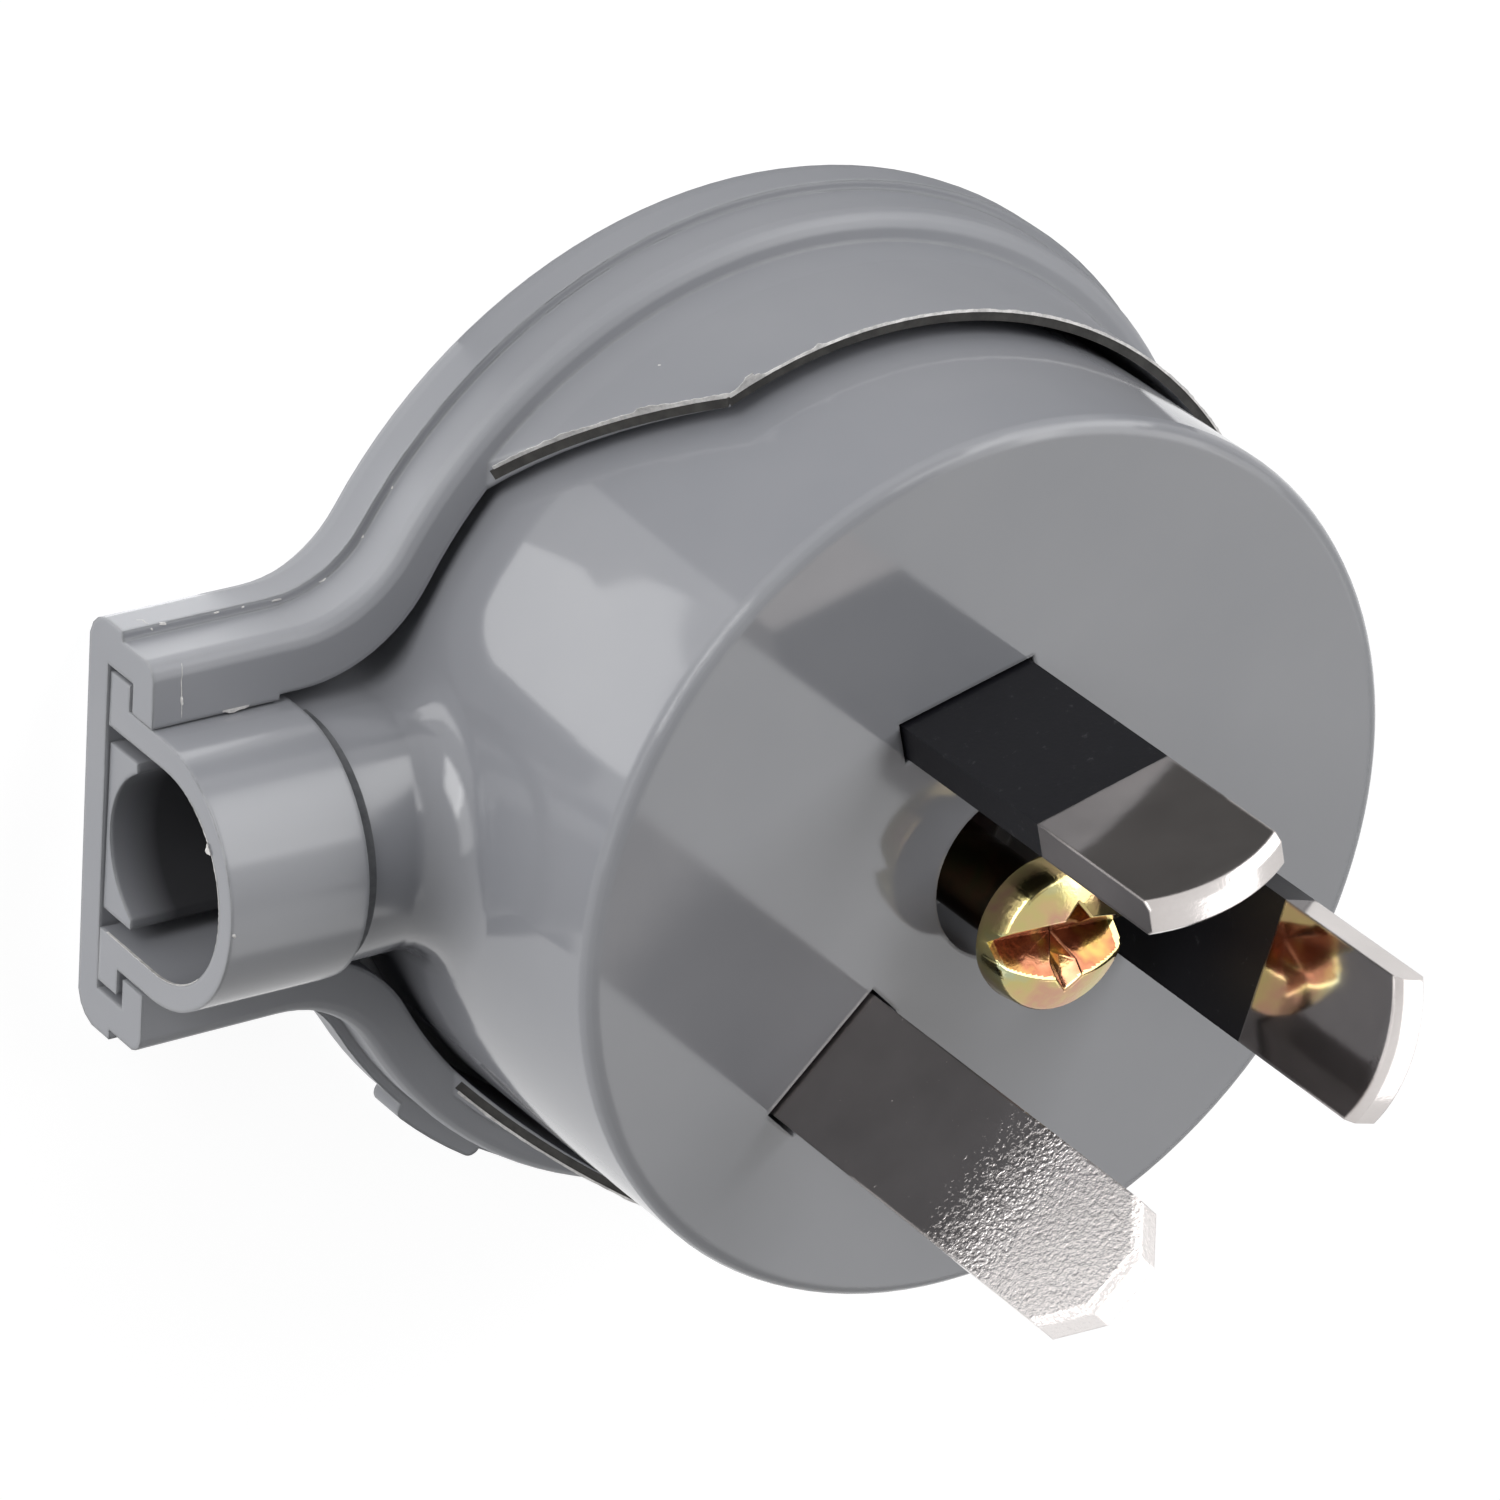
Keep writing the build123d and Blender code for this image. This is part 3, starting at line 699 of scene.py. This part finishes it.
def add_shank(mesh):
    """Shank with a plain upper part and a single thread below it, closed at both ends."""
    rows = []
    levels = int((seat - low.z) / shank_level)
    for k in range(levels + 1):
        z = low.z + (seat - low.z) * k / levels
        row = []
        for m in range(shank_sides):
            a = 2 * math.pi * m / shank_sides
            phase = (z / thread_lead - m / shank_sides) % 1.0
            fade_in = (z - low.z) / point_length + 0.35
            fade_out = max(0.0, (seat - plain_length - z) / thread_run_out)
            r = shank_radius - thread_depth * min(1.0, fade_in, fade_out) * abs(2 * phase - 1)
            row.append(mesh.verts.new((centre.x + r * math.cos(a), centre.y + r * math.sin(a), z)))
        rows.append(row)
    for lower_row, upper_row in zip(rows, rows[1:]):
        for m in range(shank_sides):
            n = (m + 1) % shank_sides
            mesh.faces.new((lower_row[m], lower_row[n], upper_row[n], upper_row[m]))
    mesh.faces.new(reversed(rows[0]))
    mesh.faces.new(rows[-1])


seat_margin, sunk_from, rim_margin = 0.01 * MM, 0.14 * MM, 0.3 * MM


def film_kind(middle):
    """Index of the film on a face: 0 on the head, 1 in its recess, 2 on the shank, painted dark as shade."""
    r = math.hypot(middle.x - centre.x, middle.y - centre.y)
    crown = seat + (rim_height + dome_rise * (1 - (r / top_radius) ** 2)) * MM
    if middle.z < seat - seat_margin:
        return 2
    in_recess = middle.z < crown - sunk_from and r < top_radius - rim_margin
    return 1 if in_recess and middle.z > seat + seat_margin else 0


mesh = bmesh.new()
add_head(mesh)
add_shank(mesh)
bmesh.ops.recalc_face_normals(mesh, faces=mesh.faces)
for face in mesh.faces:
    face.smooth = len(face.verts) < 5
    face.material_index = film_kind(face.calc_center_median())
screw_data = bpy.data.meshes.new("zinc_screw")
mesh.to_mesh(screw_data)
mesh.free()
screw_data.set_sharp_from_angle(angle=math.radians(50))
screw = bpy.data.objects.new("zinc_screw", screw_data)
bpy.context.scene.collection.objects.link(screw)
films = {
    "yellow_zinc": [
        (0.32, (0.42, 0.45, 0.28)), (0.42, (0.50, 0.43, 0.18)), (0.52, (0.55, 0.40, 0.20)),
        (0.60, (0.54, 0.31, 0.21)), (0.70, (0.50, 0.42, 0.20))],
    "recess_zinc": [
        (0.34, (0.30, 0.20, 0.06)), (0.46, (0.22, 0.085, 0.045)), (0.58, (0.34, 0.15, 0.085)),
        (0.68, (0.40, 0.30, 0.12))],
    # Painted shade: the shank is near black brown, as shade down in its well.
    "shank_zinc_painted_shade": [
        (0.34, (0.11, 0.105, 0.045)), (0.50, (0.15, 0.085, 0.045)), (0.66, (0.085, 0.070, 0.040))],
}
for name, stops in films.items():
    screw_data.materials.append(yellow_zinc(name, stops))
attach(screw, "root")
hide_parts("cover_screw")


# Terminals, their screws, the bush and the washer
# Machined brass blocks with plated clamp screws, a brass bush moulded into the cover's boss
# and a fibre washer that keeps the cover screw in the body.
def machined(name, colour, roughness):
    """Turned or milled metal with fine tool marks."""
    material, tree, shader, coords = new_surface(name, metallic=1.0)
    shader.inputs["Base Color"].default_value = (*colour, 1.0)
    shader.inputs["Roughness"].default_value = roughness
    marks = add_bump(tree, noise(tree, coords, 0.15 * MM, 3.0), 0.006 * MM)
    tree.links.new(marks, shader.inputs["Normal"])
    return material


brass = machined("machined_brass", (0.74, 0.56, 0.30), 0.3)
plated = machined("plated_screw", (0.68, 0.66, 0.62), 0.25)
for pin in ("active", "neutral", "earth"):
    dress(pin + "_terminal", brass)
    dress(pin + "_terminal_screw", plated)
dress("cover_insert", brass)
fibre, tree, shader, coords = new_surface("pressed_fibre")
fibres = noise(tree, coords, 0.4 * MM, 4.0)
red = ramp(tree, fibres, [(0.3, (0.22, 0.05, 0.035)), (0.7, (0.34, 0.08, 0.05))])
tree.links.new(red, shader.inputs["Base Color"])
shader.inputs["Roughness"].default_value = 0.7
dress("screw_retaining_washer", fibre)
